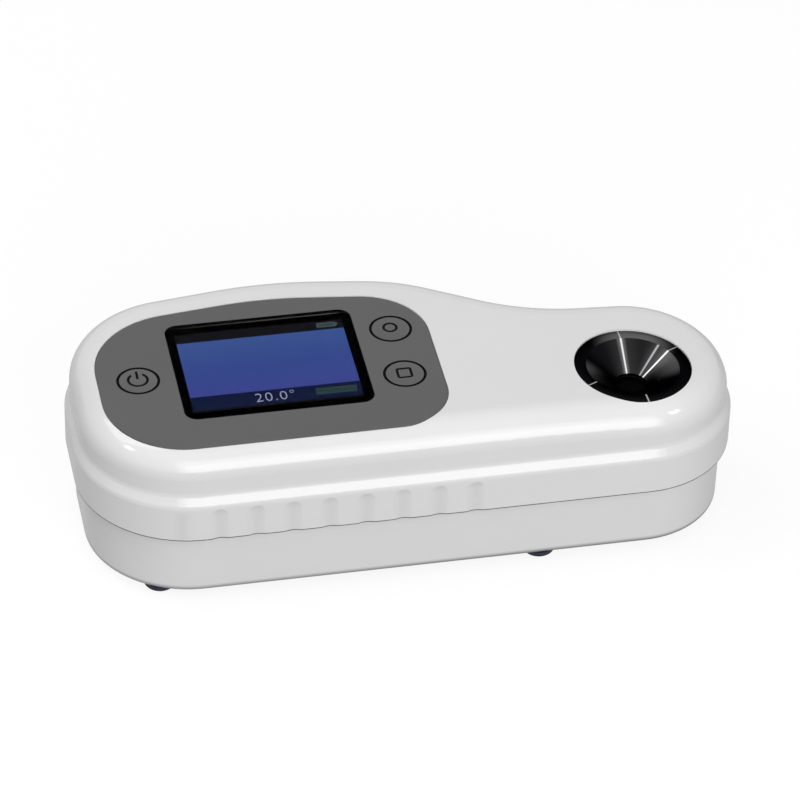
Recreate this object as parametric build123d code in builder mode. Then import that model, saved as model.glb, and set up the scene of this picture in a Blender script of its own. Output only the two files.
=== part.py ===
"""A handheld digital refractometer that rests on a bench: colour display, three keys and a steel sample well.

Millimetres. +X runs along the instrument towards the sample well, +Y runs away from the user, +Z is up.
The origin is on the bench, under the middle of the case.
"""

from math import asin, cos, degrees, radians, sin, sqrt, tan
import os

from build123d import *

os.makedirs("parts", exist_ok=True)

# Case outline: corners of the straight-sided shape and the radius that rounds each one
wall_end = 86.55
wall_front = -38.05
lobe_back = 13.2
waist = (38.5, 14.4)
haunch = (6.2, 33.5)
back_crown = (-29.5, 38.95)
left_back = 31.6
case_corners = [
    (-wall_end, wall_front),
    (wall_end, wall_front),
    (wall_end, lobe_back),
    waist,
    haunch,
    back_crown,
    (-wall_end, left_back),
]
case_radii = [29.0, 25.5, 25.3, 50.0, 50.0, 110.0, 29.0]

# Heights of the case
foot_stand = 2.0
lower_height = 18.8
cover_height = 26.65
case_floor = foot_stand
seam = foot_stand + lower_height
case_top = seam + cover_height

# Upper cover
cover_wall = 2.6
shoulder_radius = 7.9
inner_shoulder = 5.2
belt_bulge = 1.45
belt_height = 10.7
belt_rise = 3.6
belt_taper = 24.0
belt_blend = 3.0
flute_count = 9
flute_pitch = 9.66
flute_first = -63.7
flute_depth = 0.4
flute_radius = 6.0
flute_top = 9.9
strip_height = 0.3
strip_width = 1.0
strip_back = 0.05
bend_start = 20.5
bend_radius = 880.0

# Lower case
lower_inset = 0.7
lower_wall = 2.4
floor_thickness = 2.8
draft_angle = 0.8
bottom_round = 0.9
tongue_height = 2.0
tongue_gap = 0.15
tongue_wall = 1.15
tongue_root = 3.0

# Printed overlay, display window and display
display_x = -34.8
display_y = -1.7
overlay_sunk = 0.3
overlay_thickness = 0.6
overlay_gap = 0.1
overlay_corners = [(-45.6, -31.85), (44.35, -31.7), (44.35, 22.95), (3.0, 28.5), (-45.6, 22.9)]
overlay_radii = [21.8, 13.9, 18.1, 100.0, 23.3]
window_length = 50.0
window_width = 40.7
window_corner = 3.5
window_thickness = 1.0
mask_thickness = 0.2
mask_side = 2.45
mask_end = 3.45
active_lift = 0.45
panel_margin = 1.5
panel_thickness = 1.6
backlight_thickness = 1.2
frame_wall = 1.6
frame_floor = 0.8
panel_gap = 0.15

# Main board and its fixings
board_depth = 7.6
board_thickness = 1.6
board_left = -75.5
board_right = 11.0
board_front = -27.0
board_back = 24.0
board_corner = 8.0
board_posts = [(-67.0, 14.5), (-67.0, -20.0), (5.0, 18.5), (5.0, -24.4)]
post_radius = 2.6
small_pilot = 0.85
small_screw = 0.8
small_head = 1.9
small_head_height = 1.3
small_reach = 4.0

# Keys and switches
power_x = -69.7
power_y = -3.4
keys_x = -0.3
zero_y = 7.9
read_y = -11.9
key_radius = 5.15
key_gap = 0.2
key_flange = 6.3
key_flange_thickness = 0.8
key_stop_gap = 0.15
key_stem = 1.75
key_travel = 0.4
key_dish = 0.25
plunger_radius = 1.6
plunger_sink = 0.6
plunger_reach = 0.7
plunger_gap = 0.08
switch_size = 6.0
switch_height = 2.6

# Screws that close the case
case_bosses = [(-80.2, -3.4), (-4.0, -31.6), (16.5, 20.0), (44.0, -31.6), (74.2, 1.5)]
boss_radius = 3.4
boss_meet = 24.0
screw_radius = 1.45
screw_pilot = 1.5
screw_clearance = 1.7
screw_head = 2.7
screw_head_height = 2.0
screw_head_gap = 0.3
screw_seat = 12.0
screw_reach = 8.0

# Feet
foot_places = {
    "front_left": (-68.5, -29.8),
    "front_right": (32.8, -32.7),
    "back_left": (-68.0, 21.0),
    "back_right": (32.5, 8.0),
}
foot_radius = 4.4
foot_round = 1.3
foot_stem = 1.6
foot_barb = 2.1
foot_barb_height = 1.2
foot_gap = 0.05

# Battery door, tray, cells and contacts
door_x = -34.0
door_y = -4.0
door_thickness = 1.8
door_corner = 3.0
door_gap = 0.3
door_ledge = 2.0
tab_spread = 30.0
tab_width = 6.0
tab_thickness = 1.2
tab_over = 2.0
tab_lift = 0.15
latch_width = 10.0
latch_rise = 1.6
latch_thickness = 1.2
grip_count = 4
grip_pitch = 2.4
grip_width = 1.0
grip_length = 12.0
grip_depth = 0.5
cell_radius = 5.25
cell_length = 43.7
cell_nub_radius = 1.9
cell_nub_length = 0.8
cell_pitch = 11.2
cell_count = 3
cell_lift = 0.3
cell_margin = 0.2
tray_wall = 1.2
tray_roof_gap = 0.2
tray_flange = 2.5
contact_thickness = 0.4
contact_width = 8.0
leaf_depth = 4.4

# Sample well
well_x = 60.0
well_y = -17.4
well_radius = 15.5
well_gap = 0.15
well_sunk = 0.45
well_flange = 2.2
well_rim = 12.4
well_hole = 4.1
cone_depth = 5.5
well_lip = 0.9
well_hub = 12.8
well_depth = 8.5
socket_wall = 3.6
lip_width = 3.2
lip_drop = 0.1
seal_inner = 13.5
seal_outer = 15.1
seal_thickness = 1.0

# Prism and optics, measured down from the rim of the well
optic_angle = 55.0
prism_top = 12.0
prism_width = 9.0
prism_height = 6.0
prism_gap = 0.1
gasket_inner = 4.5
gasket_outer = 7.0
gasket_thickness = 0.5
pocket_radius = 7.7
arm_reach = 15.0
arm_width = 13.6
block_width = 13.0
plate_radius = 15.5
plate_thickness = 2.2
channel_radius = 2.6
lens_radius = 3.5
lens_thickness = 2.2
lens_edge = 1.0
lens_gap = 0.1
lens_bay = 5.5
small_board = 1.0
small_board_width = 12.6
lamp_radius = 1.5
lamp_length = 3.0
sensor_length = 9.0
sensor_width = 4.0
sensor_height = 1.4
screw_circle = 10.3
screw_angles = [60.0, 120.0, 240.0, 300.0]
probe_radius = 1.1
probe_gap = 0.1
probe_rise = 2.0
probe_tail = 1.5

# Parts on the board and the leads
chip_size = 10.0
chip_height = 1.4
chip_place = (-30.0, 0.0)
ribbon_width = 8.0
ribbon_thickness = 0.3
socket_length = 9.0
socket_depth = 4.0
socket_height = 2.4
ribbon_socket_x = 4.0
ribbon_out = 3.0
ribbon_low = (30.0, 30.0)
ribbon_turn = 16.0
lead_socket_place = (-50.0, 17.0)
lead_radius = 0.7
lead_pitch = 2.0
lead_bend = 3.0

# Places that follow from the sizes above
inner_top = case_top - cover_wall
overlay_top = case_top - overlay_sunk
overlay_bed = overlay_top - overlay_thickness
window_bed = overlay_top - window_thickness - mask_thickness
board_top = case_top - board_depth
board_under = board_top - board_thickness
floor_top = case_floor + floor_thickness
display_centre = (display_x, display_y)
active_centre = (display_x, display_y + active_lift)
active_length = window_length - 2 * mask_side
active_width = window_width - 2 * mask_end
panel_length = active_length + 2 * panel_margin
panel_width = active_width + 2 * panel_margin
panel_top = window_bed - panel_gap
backlight_bottom = panel_top - panel_thickness - backlight_thickness
frame_bottom = backlight_bottom - frame_floor
span = 3 * wall_end
key_centres = {"power": (power_x, power_y), "zero": (keys_x, zero_y), "read": (keys_x, read_y)}
tray_inner_length = cell_length + cell_nub_length + contact_thickness + leaf_depth
door_length = tray_inner_length + 2 * (door_ledge + cell_margin)
door_width = cell_count * cell_pitch + 2 * (door_ledge + cell_margin)


def outlined(corners, radii, height, grow=0.0, centre=(0.0, 0.0)):
    """A level face whose straight sides are joined by arcs, grown outwards by a set amount."""
    with BuildSketch(Plane((centre[0], centre[1], height))) as level:
        with BuildLine():
            FilletPolyline(*corners, radius=radii, close=True)
        make_face()
        if grow:
            offset(amount=grow)
    return level.sketch


def case_level(height, grow=0.0):
    """The case outline at a height."""
    return outlined(case_corners, case_radii, height, grow)


def overlay_level(height, grow=0.0):
    """The outline of the printed overlay at a height."""
    return outlined(overlay_corners, overlay_radii, height, grow, display_centre)


def top_drop(x):
    """How far the top has fallen at x, along the long bend towards the sample well."""
    along = max(0.0, x - bend_start)
    return bend_radius - sqrt(bend_radius**2 - along**2)


def under_top(depth):
    """Side view of all that lies under the top surface, or under a skin of the given depth."""
    far = 2 * wall_end
    with BuildSketch(Plane.XZ) as side:
        with BuildLine():
            start = (bend_start, case_top - depth)
            finish = (far, case_top - depth - top_drop(far))
            Line((-far, case_top - depth), start)
            TangentArc(start, finish, tangent=(1, 0))
            Polyline(finish, (far, 0), (-far, 0), (-far, case_top - depth))
        make_face()
    return side.sketch


def save(part, name):
    """Label a finished piece and write it out under its own name."""
    part.part.label = name
    export_step(part.part, f"parts/{name}.step")


def top_rim(part, height):
    """The edges that run round the top of a prism, without the line where the bend starts."""
    rim = part.edges().filter_by(lambda edge: edge.center().Z > height)
    return rim.filter_by(lambda edge: abs(edge.center().X - bend_start) > 0.01)


# The tilted frame of the sample well: its origin is the middle of the steel rim
well_tilt = degrees(asin((well_x - bend_start) / bend_radius))
well_up = Vector(sin(radians(well_tilt)), 0, cos(radians(well_tilt)))
well_surface = Vector(well_x, well_y, case_top - top_drop(well_x))
well_frame = Plane(origin=well_surface - well_up * well_sunk, x_dir=(well_up.Z, 0, -well_up.X), z_dir=well_up)
well_axis = Axis(well_frame.origin, well_up)
well_side = Plane(well_frame.location * Plane.XZ.location)


def well_level(depth):
    """A plane square to the axis of the well, at a depth under its rim."""
    return Plane(well_frame.location * Location((0, 0, -depth)))


def arm_level(side, out=0.0):
    """A plane square to one arm of the optics: side -1 holds the line sensor, side +1 the lamp."""
    reach = arm_reach + out
    turn = radians(optic_angle)
    origin = (side * reach * sin(turn), 0, -prism_depth - reach * cos(turn))
    local = Plane(origin=origin, x_dir=(0, 1, 0), z_dir=(side * sin(turn), 0, -cos(turn)))
    return Plane(well_frame.location * local.location)


prism_depth = cone_depth + well_lip + gasket_thickness
screw_places = [
    (screw_circle * cos(radians(angle)), screw_circle * sin(radians(angle))) for angle in screw_angles
]
socket_radius = well_hub + well_gap + socket_wall
lower_boss = screw_head + screw_head_gap + 1.2
lip_curve = (lip_width**2 + (well_sunk + lip_drop) ** 2) / (2 * (well_sunk + lip_drop))


# Hollow of the upper cover, less the posts and bosses that hang from its roof
with BuildPart() as cover_hollow:
    extrude(case_level(seam, -cover_wall), amount=cover_height)
    extrude(under_top(cover_wall), amount=span, both=True, mode=Mode.INTERSECT)
    fillet(top_rim(cover_hollow, seam + cover_height / 2), radius=inner_shoulder)
    with BuildSketch(Plane.XY.offset(board_top)):
        with Locations(*board_posts):
            Circle(post_radius)
    extrude(amount=cover_height, mode=Mode.SUBTRACT)
    with BuildSketch(Plane.XY.offset(boss_meet)):
        with Locations(*case_bosses):
            Circle(boss_radius)
    extrude(amount=cover_height, mode=Mode.SUBTRACT)
    with BuildSketch(well_level(well_depth)):
        Circle(socket_radius)
    extrude(amount=cover_height, mode=Mode.SUBTRACT)

# Upper cover: rounded shoulders, a belt with grip flutes, and places for all that it carries
belt_top = seam + belt_height
belt_join = belt_top + belt_bulge / tan(radians(belt_taper))
flute_places = [flute_first + flute_pitch * i for i in range(flute_count)]
flute_line = wall_front - belt_bulge + flute_depth - flute_radius
flute_end = flute_top - sqrt(flute_radius**2 - (flute_radius - flute_depth) ** 2)
with BuildPart() as upper_cover:
    extrude(case_level(seam), amount=cover_height + 1)
    extrude(under_top(0), amount=span, both=True, mode=Mode.INTERSECT)
    fillet(top_rim(upper_cover, seam + cover_height / 2), radius=shoulder_radius)
    extrude(case_level(seam, belt_bulge), amount=belt_height)
    extrude(case_level(belt_top, belt_bulge), amount=belt_rise, taper=belt_taper)
    fillet(upper_cover.edges().filter_by_position(Axis.Z, belt_top - 0.05, belt_top + 0.05), radius=belt_blend)
    fillet(upper_cover.edges().filter_by_position(Axis.Z, belt_join - 0.05, belt_join + 0.05), radius=belt_blend)
    with BuildSketch(Plane.XY.offset(seam)):
        with Locations(*[(x, flute_line) for x in flute_places]):
            Circle(flute_radius)
    extrude(amount=flute_end, mode=Mode.SUBTRACT)
    with Locations(*[(x, flute_line, seam + flute_end) for x in flute_places]):
        Sphere(flute_radius, mode=Mode.SUBTRACT)
    with BuildSketch(Plane.XY.offset(seam)):
        add(case_level(seam, belt_bulge + strip_width))
        add(case_level(seam, belt_bulge - strip_back - strip_width), mode=Mode.SUBTRACT)
    extrude(amount=strip_height, mode=Mode.SUBTRACT)
    add(cover_hollow.part, mode=Mode.SUBTRACT)
    extrude(overlay_level(overlay_bed, overlay_gap), amount=cover_wall, mode=Mode.SUBTRACT)
    with BuildSketch(Plane.XY.offset(window_bed)):
        with Locations(display_centre):
            RectangleRounded(window_length + 2 * overlay_gap, window_width + 2 * overlay_gap, window_corner)
    extrude(amount=cover_wall, mode=Mode.SUBTRACT)
    with BuildSketch(Plane.XY.offset(inner_top - cover_wall)):
        with Locations(active_centre):
            Rectangle(panel_length + 4 * panel_gap, panel_width + 4 * panel_gap)
    extrude(amount=2 * cover_wall, mode=Mode.SUBTRACT)
    with BuildSketch(Plane.XY.offset(inner_top - cover_wall)):
        with Locations(*key_centres.values()):
            Circle(key_radius + key_gap)
    extrude(amount=2 * cover_wall, mode=Mode.SUBTRACT)
    with BuildSketch(Plane.XY.offset(board_top)):
        with Locations(*board_posts):
            Circle(small_pilot)
    extrude(amount=small_reach + 0.5, mode=Mode.SUBTRACT)
    with BuildSketch(Plane.XY.offset(boss_meet)):
        with Locations(*case_bosses):
            Circle(screw_pilot)
    extrude(amount=screw_reach + 1.0, mode=Mode.SUBTRACT)
    with BuildSketch(well_level(well_flange)):
        Circle(well_radius + well_gap)
    extrude(amount=well_depth, mode=Mode.SUBTRACT)
    with BuildSketch(well_side):
        with BuildLine():
            lip_inner = (well_radius + well_gap, -lip_drop)
            lip_outer = (well_radius + well_gap + lip_width, well_sunk)
            RadiusArc(lip_outer, lip_inner, -lip_curve)
            Polyline(lip_inner, (0, -lip_drop), (0, cover_wall), (lip_outer[0], cover_wall), lip_outer)
        make_face()
    revolve(axis=well_axis, mode=Mode.SUBTRACT)
    with BuildSketch(well_level(well_depth + 1.0)):
        Circle(well_hub + well_gap)
    extrude(amount=well_depth, mode=Mode.SUBTRACT)
    with BuildSketch(well_level(well_flange + seal_thickness)):
        Circle(seal_outer)
        Circle(seal_inner, mode=Mode.SUBTRACT)
    extrude(amount=seal_thickness, mode=Mode.SUBTRACT)
save(upper_cover, "upper_cover")

# Edge strip: soft rubber bonded into a rebate round the foot of the belt, a dark line at the seam
with BuildPart() as edge_strip:
    with BuildSketch(Plane.XY.offset(seam)):
        add(case_level(seam, belt_bulge - strip_back))
        add(case_level(seam, belt_bulge - strip_back - strip_width), mode=Mode.SUBTRACT)
        with Locations(*[(x, flute_line) for x in flute_places]):
            Circle(flute_radius + strip_back, mode=Mode.SUBTRACT)
    extrude(amount=strip_height)
save(edge_strip, "edge_strip")

# Hollow of the lower case, less the screw bosses that stand on its floor
with BuildPart() as lower_hollow:
    extrude(
        case_level(seam, -lower_inset - lower_wall),
        amount=lower_height - floor_thickness,
        dir=(0, 0, -1),
        taper=draft_angle,
    )
    with BuildSketch(Plane.XY.offset(seam)) as tongue_level:
        add(case_level(seam))
        add(case_level(seam, -cover_wall - tongue_gap - tongue_wall), mode=Mode.SUBTRACT)
    extrude(tongue_level.sketch, amount=-tongue_root, mode=Mode.SUBTRACT)
    extrude(case_level(seam - tongue_root, -cover_wall - tongue_gap - tongue_wall), amount=boss_meet - seam + 5.0)
    with BuildSketch(Plane.XY.offset(case_floor)):
        with Locations(*case_bosses):
            Circle(lower_boss)
    extrude(amount=boss_meet - case_floor, mode=Mode.SUBTRACT)

# Lower case: drafted walls, a tongue that enters the cover, screw bosses and the opening for the cells
door_back = door_y + door_width / 2
door_front = door_y - door_width / 2
tab_places = [(door_x - tab_spread / 2, door_back), (door_x + tab_spread / 2, door_back)]
notch_depth = door_ledge + 2 * door_gap
with BuildPart() as lower_case:
    extrude(case_level(seam, -lower_inset), amount=lower_height, dir=(0, 0, -1), taper=draft_angle)
    fillet(lower_case.faces().sort_by(Axis.Z)[0].edges(), radius=bottom_round)
    extrude(case_level(seam - 0.01, -cover_wall - tongue_gap), amount=tongue_height + 0.01)
    with BuildSketch(Plane.XY.offset(seam)):
        with Locations(*case_bosses):
            Circle(boss_radius)
    extrude(amount=boss_meet - seam)
    add(lower_hollow.part, mode=Mode.SUBTRACT)
    with BuildSketch(Plane.XY.offset(case_floor)):
        with Locations(*case_bosses):
            Circle(screw_head + screw_head_gap)
    extrude(amount=screw_seat - case_floor, mode=Mode.SUBTRACT)
    with BuildSketch(Plane.XY.offset(case_floor)):
        with Locations(*case_bosses):
            Circle(screw_clearance)
    extrude(amount=case_top - case_floor, mode=Mode.SUBTRACT)
    with BuildSketch(Plane.XY.offset(boss_meet)):
        with Locations(*case_bosses):
            Circle(boss_radius + tongue_gap)
    extrude(amount=case_top - boss_meet, mode=Mode.SUBTRACT)
    with BuildSketch(Plane.XY.offset(case_floor)):
        with Locations(*foot_places.values()):
            Circle(foot_stem + foot_gap)
    extrude(amount=floor_thickness, mode=Mode.SUBTRACT)
    with BuildSketch(Plane.XY.offset(case_floor)):
        with Locations((door_x, door_y)):
            RectangleRounded(door_length + 2 * door_gap, door_width + 2 * door_gap, door_corner + door_gap)
    extrude(amount=door_thickness, mode=Mode.SUBTRACT)
    with BuildSketch(Plane.XY.offset(case_floor)):
        with Locations((door_x, door_y)):
            Rectangle(door_length - 2 * door_ledge, door_width - 2 * door_ledge)
        with Locations(*[(x, y + door_gap - notch_depth / 2) for x, y in tab_places]):
            Rectangle(tab_width + 2 * door_gap, notch_depth)
    extrude(amount=floor_thickness, mode=Mode.SUBTRACT)
save(lower_case, "lower_case")

# Screws that close the case, driven up from wells in the lower case
with BuildPart() as case_screws:
    with BuildSketch(Plane.XY.offset(screw_seat - screw_head_height)):
        with Locations(*case_bosses):
            Circle(screw_head)
    extrude(amount=screw_head_height)
    with BuildSketch(Plane.XY.offset(screw_seat)):
        with Locations(*case_bosses):
            Circle(screw_radius)
    extrude(amount=boss_meet - screw_seat + screw_reach)
save(case_screws, "case_screws")

# Feet: domed rubber heads on barbed stems pushed through the floor
for place, (foot_x, foot_y) in foot_places.items():
    with BuildPart() as foot:
        with BuildSketch(Plane.XY):
            with Locations((foot_x, foot_y)):
                Circle(foot_radius)
        extrude(amount=foot_stand)
        fillet(foot.faces().sort_by(Axis.Z)[0].edges(), radius=foot_round)
        with BuildSketch(Plane.XY.offset(foot_stand)):
            with Locations((foot_x, foot_y)):
                Circle(foot_stem)
        extrude(amount=floor_thickness)
        with BuildSketch(Plane.XY.offset(floor_top)):
            with Locations((foot_x, foot_y)):
                Circle(foot_barb)
        extrude(amount=foot_barb_height, taper=20)
    save(foot, f"foot_{place}")

# Printed overlay, set into the cover round the display window and the keys
with BuildPart() as overlay:
    extrude(overlay_level(overlay_bed), amount=overlay_thickness)
    with BuildSketch(Plane.XY.offset(overlay_bed)):
        with Locations(display_centre):
            RectangleRounded(window_length + 2 * overlay_gap, window_width + 2 * overlay_gap, window_corner)
        with Locations(*key_centres.values()):
            Circle(key_radius + key_gap)
    extrude(amount=overlay_thickness, mode=Mode.SUBTRACT)
save(overlay, "overlay")

# Clear display window, flush with the overlay
with BuildPart() as display_window:
    with BuildSketch(Plane.XY.offset(window_bed + mask_thickness)):
        with Locations(display_centre):
            RectangleRounded(window_length, window_width, window_corner)
    extrude(amount=window_thickness)
save(display_window, "display_window")

# Black mask under the window, open over the lit area
with BuildPart() as display_mask:
    with BuildSketch(Plane.XY.offset(window_bed)):
        with Locations(display_centre):
            RectangleRounded(window_length, window_width, window_corner)
        with Locations(active_centre):
            Rectangle(active_length, active_width, mode=Mode.SUBTRACT)
    extrude(amount=mask_thickness)
save(display_mask, "display_mask")

# Display panel and the light guide behind it
with BuildPart() as display_panel:
    with BuildSketch(Plane.XY.offset(panel_top - panel_thickness)):
        with Locations(active_centre):
            Rectangle(panel_length, panel_width)
    extrude(amount=panel_thickness)
save(display_panel, "display_panel")

with BuildPart() as display_backlight:
    with BuildSketch(Plane.XY.offset(backlight_bottom)):
        with Locations(active_centre):
            Rectangle(panel_length, panel_width)
    extrude(amount=backlight_thickness)
save(display_backlight, "display_backlight")

# Display frame: a tray round the panel, on four legs that stand on the main board
frame_length = panel_length + 2 * (panel_gap + frame_wall)
frame_width = panel_width + 2 * (panel_gap + frame_wall)
flex_width = 16.0
flex_thickness = 0.2
flex_reach = 3.6
with BuildPart() as display_frame:
    with BuildSketch(Plane.XY.offset(frame_bottom)):
        with Locations(active_centre):
            RectangleRounded(frame_length, frame_width, frame_wall)
    extrude(amount=inner_top - frame_bottom)
    with BuildSketch(Plane.XY.offset(backlight_bottom)):
        with Locations(active_centre):
            Rectangle(panel_length + 2 * panel_gap, panel_width + 2 * panel_gap)
    extrude(amount=inner_top - backlight_bottom, mode=Mode.SUBTRACT)
    with BuildSketch(Plane.XY.offset(board_top)):
        with Locations(active_centre):
            with GridLocations(frame_length - 2 * frame_wall, frame_width - 2 * frame_wall, 2, 2):
                Circle(frame_wall)
    extrude(amount=frame_bottom - board_top)
    with BuildSketch(Plane.XY.offset(backlight_bottom)):
        with Locations((display_x, active_centre[1] + frame_width / 2)):
            Rectangle(flex_width + 2 * panel_gap, 3 * frame_wall)
    extrude(amount=inner_top - backlight_bottom, mode=Mode.SUBTRACT)
save(display_frame, "display_frame")

# Flexible circuit that folds from the panel down to the main board
panel_back = active_centre[1] + panel_width / 2
flex_top = panel_top - panel_thickness + flex_thickness
flex_low = board_top + flex_thickness / 2
with BuildPart() as display_flex:
    with BuildSketch(Plane.YZ.offset(display_x - flex_width / 2)):
        with BuildLine():
            FilletPolyline(
                (panel_back, flex_top),
                (panel_back + flex_reach, flex_top),
                (panel_back + flex_reach, flex_low),
                (panel_back, flex_low),
                radius=flex_reach / 4,
            )
        trace(line_width=flex_thickness)
    extrude(amount=flex_width)
save(display_flex, "display_flex")

# Main board, held up to the cover by four screws
with BuildPart() as main_board:
    with BuildSketch(Plane.XY.offset(board_under)):
        with Locations(((board_left + board_right) / 2, (board_front + board_back) / 2)):
            RectangleRounded(board_right - board_left, board_back - board_front, board_corner)
        with Locations(*board_posts):
            Circle(small_pilot + 0.15, mode=Mode.SUBTRACT)
    extrude(amount=board_thickness)
save(main_board, "main_board")

with BuildPart() as board_screws:
    with BuildSketch(Plane.XY.offset(board_under - small_head_height)):
        with Locations(*board_posts):
            Circle(small_head)
    extrude(amount=small_head_height)
    with BuildSketch(Plane.XY.offset(board_under)):
        with Locations(*board_posts):
            Circle(small_screw)
    extrude(amount=board_thickness + small_reach)
save(board_screws, "board_screws")

# Processor and the two sockets on the underside of the board
with BuildPart() as processor:
    with BuildSketch(Plane.XY.offset(board_under - chip_height)):
        with Locations(chip_place):
            Rectangle(chip_size, chip_size)
    extrude(amount=chip_height)
save(processor, "processor")

with BuildPart() as ribbon_socket:
    with BuildSketch(Plane.XY.offset(board_under - socket_height)):
        with Locations((ribbon_socket_x, well_y)):
            Rectangle(socket_depth, socket_length)
    extrude(amount=socket_height)
save(ribbon_socket, "ribbon_socket")

with BuildPart() as lead_socket:
    with BuildSketch(Plane.XY.offset(board_under - socket_height)):
        with Locations(lead_socket_place):
            Rectangle(socket_depth + lead_pitch, socket_depth)
    extrude(amount=socket_height)
save(lead_socket, "lead_socket")

# Keys: a dished cap through the overlay, a flange under the roof and a stem over its switch
flange_top = inner_top - key_stop_gap
flange_bottom = flange_top - key_flange_thickness
switch_top = board_top + switch_height
plunger_top = switch_top + plunger_reach
plunger_bottom = switch_top - plunger_sink
dish_radius = (key_radius**2 + key_dish**2) / (2 * key_dish)
for name, (key_x, key_y) in key_centres.items():
    key_side = Plane(origin=(key_x, key_y, 0), x_dir=(1, 0, 0), z_dir=(0, -1, 0))
    key_axis = Axis((key_x, key_y, 0), (0, 0, 1))
    with BuildPart() as key:
        with BuildSketch(key_side):
            with BuildLine():
                Polyline(
                    (0, plunger_top),
                    (key_stem, plunger_top),
                    (key_stem, flange_bottom),
                    (key_flange, flange_bottom),
                    (key_flange, flange_top),
                    (key_radius, flange_top),
                    (key_radius, overlay_top),
                )
                RadiusArc((key_radius, overlay_top), (0, overlay_top - key_dish), dish_radius)
                Line((0, overlay_top - key_dish), (0, plunger_top))
            make_face()
        revolve(axis=key_axis)
    save(key, f"{name}_key")

    with BuildPart() as plunger:
        with BuildSketch(Plane.XY.offset(plunger_bottom)):
            with Locations((key_x, key_y)):
                Circle(plunger_radius)
        extrude(amount=plunger_top - plunger_bottom)
    save(plunger, f"{name}_plunger")

    with BuildPart() as switch:
        with BuildSketch(Plane.XY.offset(board_top)):
            with Locations((key_x, key_y)):
                Rectangle(switch_size, switch_size)
        extrude(amount=switch_height)
        with BuildSketch(Plane.XY.offset(switch_top)):
            with Locations((key_x, key_y)):
                Circle(plunger_radius + plunger_gap)
        extrude(amount=-plunger_sink - 1.5 * key_travel, mode=Mode.SUBTRACT)
    save(switch, f"{name}_switch")

# Battery tray: an open-bottomed box on a flange, over the opening in the floor
door_top = case_floor + door_thickness
cell_centre = door_top + cell_lift + cell_radius
roof_inner = cell_centre + cell_radius + tray_roof_gap
tray_left = door_x - tray_inner_length / 2
tray_right = door_x + tray_inner_length / 2
tray_front = door_y - cell_count * cell_pitch / 2
tray_back = door_back + door_gap + tab_over + 2 * door_gap
tray_centre = (door_x, (tray_front + tray_back) / 2)
tray_width = tray_back - tray_front
cell_rows = [door_y + (i - (cell_count - 1) / 2) * cell_pitch for i in range(cell_count)]
lead_starts = [(tray_left + leaf_depth / 2, cell_rows[2]), (tray_right - leaf_depth / 2, cell_rows[0])]
with BuildPart() as battery_tray:
    with BuildSketch(Plane.XY.offset(floor_top)):
        with Locations(tray_centre):
            Rectangle(tray_inner_length + 2 * (tray_wall + tray_flange), tray_width + 2 * (tray_wall + tray_flange))
    extrude(amount=tray_wall)
    with BuildSketch(Plane.XY.offset(floor_top)):
        with Locations(tray_centre):
            Rectangle(tray_inner_length + 2 * tray_wall, tray_width + 2 * tray_wall)
    extrude(amount=roof_inner + tray_wall - floor_top)
    with BuildSketch(Plane.XY.offset(floor_top)):
        with Locations(tray_centre):
            Rectangle(tray_inner_length, tray_width)
    extrude(amount=roof_inner - floor_top, mode=Mode.SUBTRACT)
    with BuildSketch(Plane.XY.offset(roof_inner)):
        with Locations(*lead_starts):
            Circle(lead_radius + 0.1)
    extrude(amount=tray_wall, mode=Mode.SUBTRACT)
save(battery_tray, "battery_tray")

# Three cells side by side
for number, row in enumerate(cell_rows, start=1):
    with BuildPart() as cell:
        with BuildSketch(Plane.YZ.offset(tray_left + leaf_depth)):
            with Locations((row, cell_centre)):
                Circle(cell_radius)
        extrude(amount=cell_length)
        with BuildSketch(Plane.YZ.offset(tray_left + leaf_depth + cell_length)):
            with Locations((row, cell_centre)):
                Circle(cell_nub_radius)
        extrude(amount=cell_nub_length)
    save(cell, f"battery_cell_{number}")

# Contacts: flat plates at the nubs, sprung leaves at the flat ends
with BuildPart() as contact_plates:
    with BuildSketch(Plane.YZ.offset(tray_right - contact_thickness)):
        with Locations(*[(row, cell_centre) for row in cell_rows]):
            Rectangle(contact_width, contact_width)
    extrude(amount=contact_thickness)
save(contact_plates, "contact_plates")

with BuildPart() as contact_leaves:
    for row in cell_rows:
        with BuildSketch(Plane.XZ.offset(-row - contact_width / 2)):
            with BuildLine():
                half = contact_thickness / 2
                Polyline(
                    (tray_left + half, cell_centre + contact_width / 2),
                    (tray_left + half, cell_centre - contact_width / 2),
                    (tray_left + leaf_depth - contact_thickness, cell_centre),
                    (tray_left + leaf_depth / 2, cell_centre + contact_width / 3),
                )
            trace(line_width=contact_thickness)
        extrude(amount=contact_width)
save(contact_leaves, "contact_leaves")

# Leads from the tray to the board
lead_ends = [
    (lead_socket_place[0] - lead_pitch / 2, lead_socket_place[1]),
    (lead_socket_place[0] + lead_pitch / 2, lead_socket_place[1]),
]
lead_bottom = roof_inner + 0.1
lead_top = board_under - socket_height
lead_levels = [lead_bottom + (lead_top - lead_bottom) * share for share in (0.35, 0.5)]
with BuildPart() as battery_leads:
    for start, finish, level in zip(lead_starts, lead_ends, lead_levels):
        with BuildLine() as route:
            FilletPolyline(
                (start[0], start[1], lead_bottom),
                (start[0], start[1], level),
                (finish[0], finish[1], level + 2 * lead_bend),
                (finish[0], finish[1], lead_top),
                radius=lead_bend,
            )
        with BuildSketch(Plane(origin=(start[0], start[1], lead_bottom), z_dir=(0, 0, 1))):
            Circle(lead_radius)
        sweep(path=route.line)
save(battery_leads, "battery_leads")

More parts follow.
